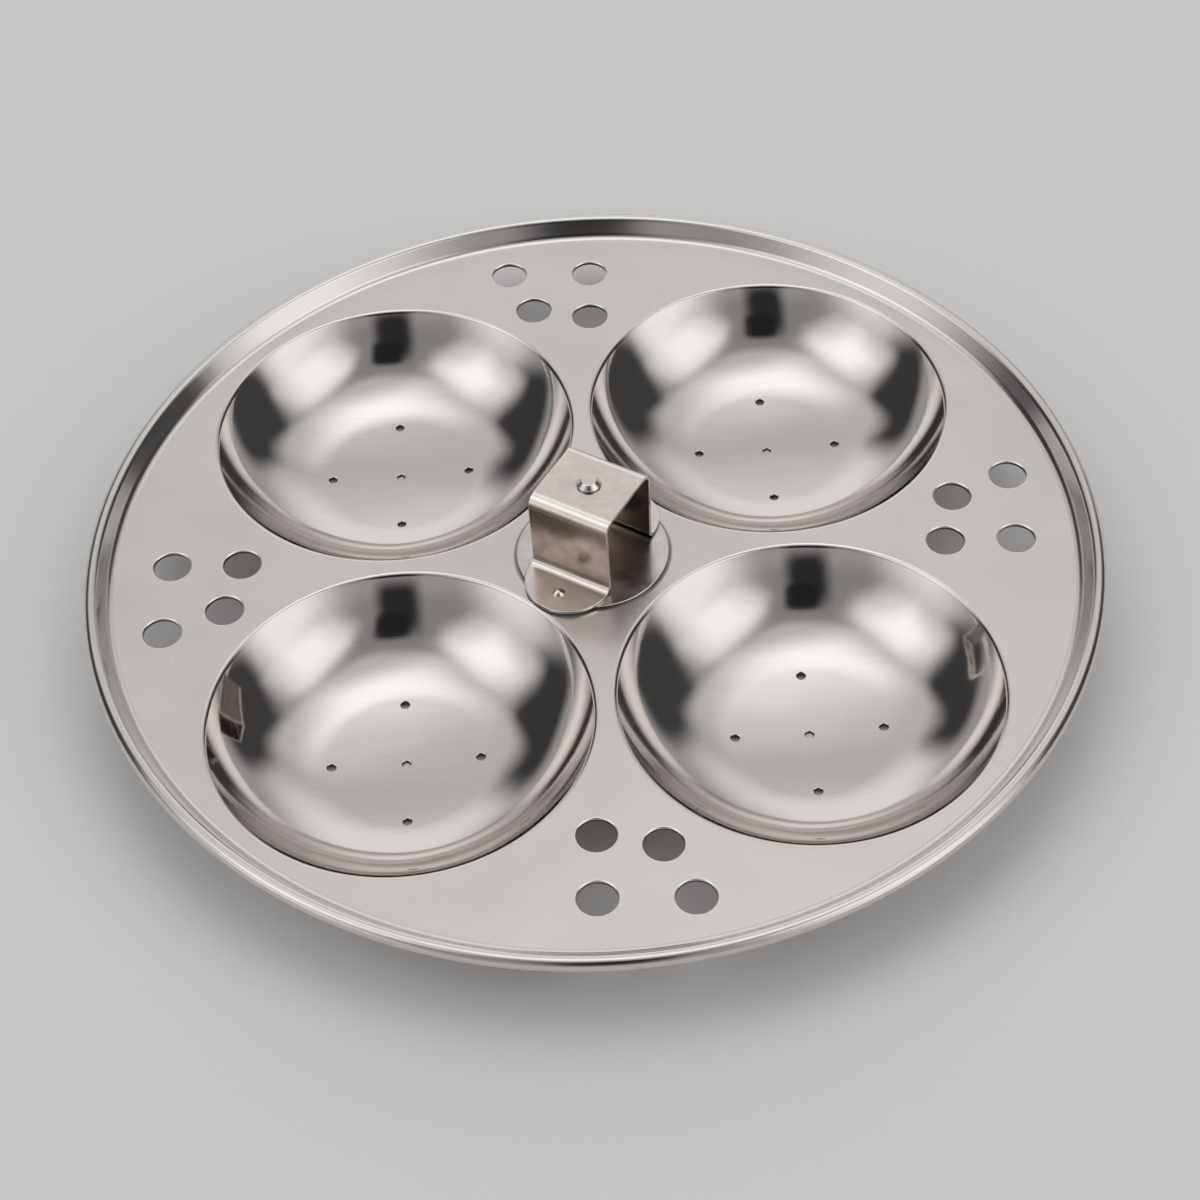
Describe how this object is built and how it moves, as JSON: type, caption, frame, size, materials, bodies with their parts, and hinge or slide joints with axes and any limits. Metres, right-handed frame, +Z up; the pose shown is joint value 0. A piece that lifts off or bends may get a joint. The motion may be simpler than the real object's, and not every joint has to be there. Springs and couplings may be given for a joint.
{
  "type": "idli steaming plate",
  "caption": "Round pressed steel steaming plate with shallow round cups, steam holes, a raised rolled rim and a central bridge handle with a locating button for stacking.",
  "frame": {"origin": "on the plate's axis, level with the undersides of the cups, which the plate stands on", "axes": "+Z up along the plate's axis; +X and +Y run between the cups, through the groups of steam holes"},
  "size_m": [0.2, 0.2, 0.035],
  "materials": {
    "polished_sheet": "mirror-polished cups in a satin sheet",
    "bright_disc": "bright rolled",
    "satin_strap": "satin",
    "turned_steel": "satin"
  },
  "bodies": {
    "root": {"idli_plate": "polished_sheet", "seat_disc": "bright_disc", "strap_bracket": "satin_strap", "locating_button": "turned_steel", "foot_rivets": "turned_steel"}
  },
  "joints": []
}
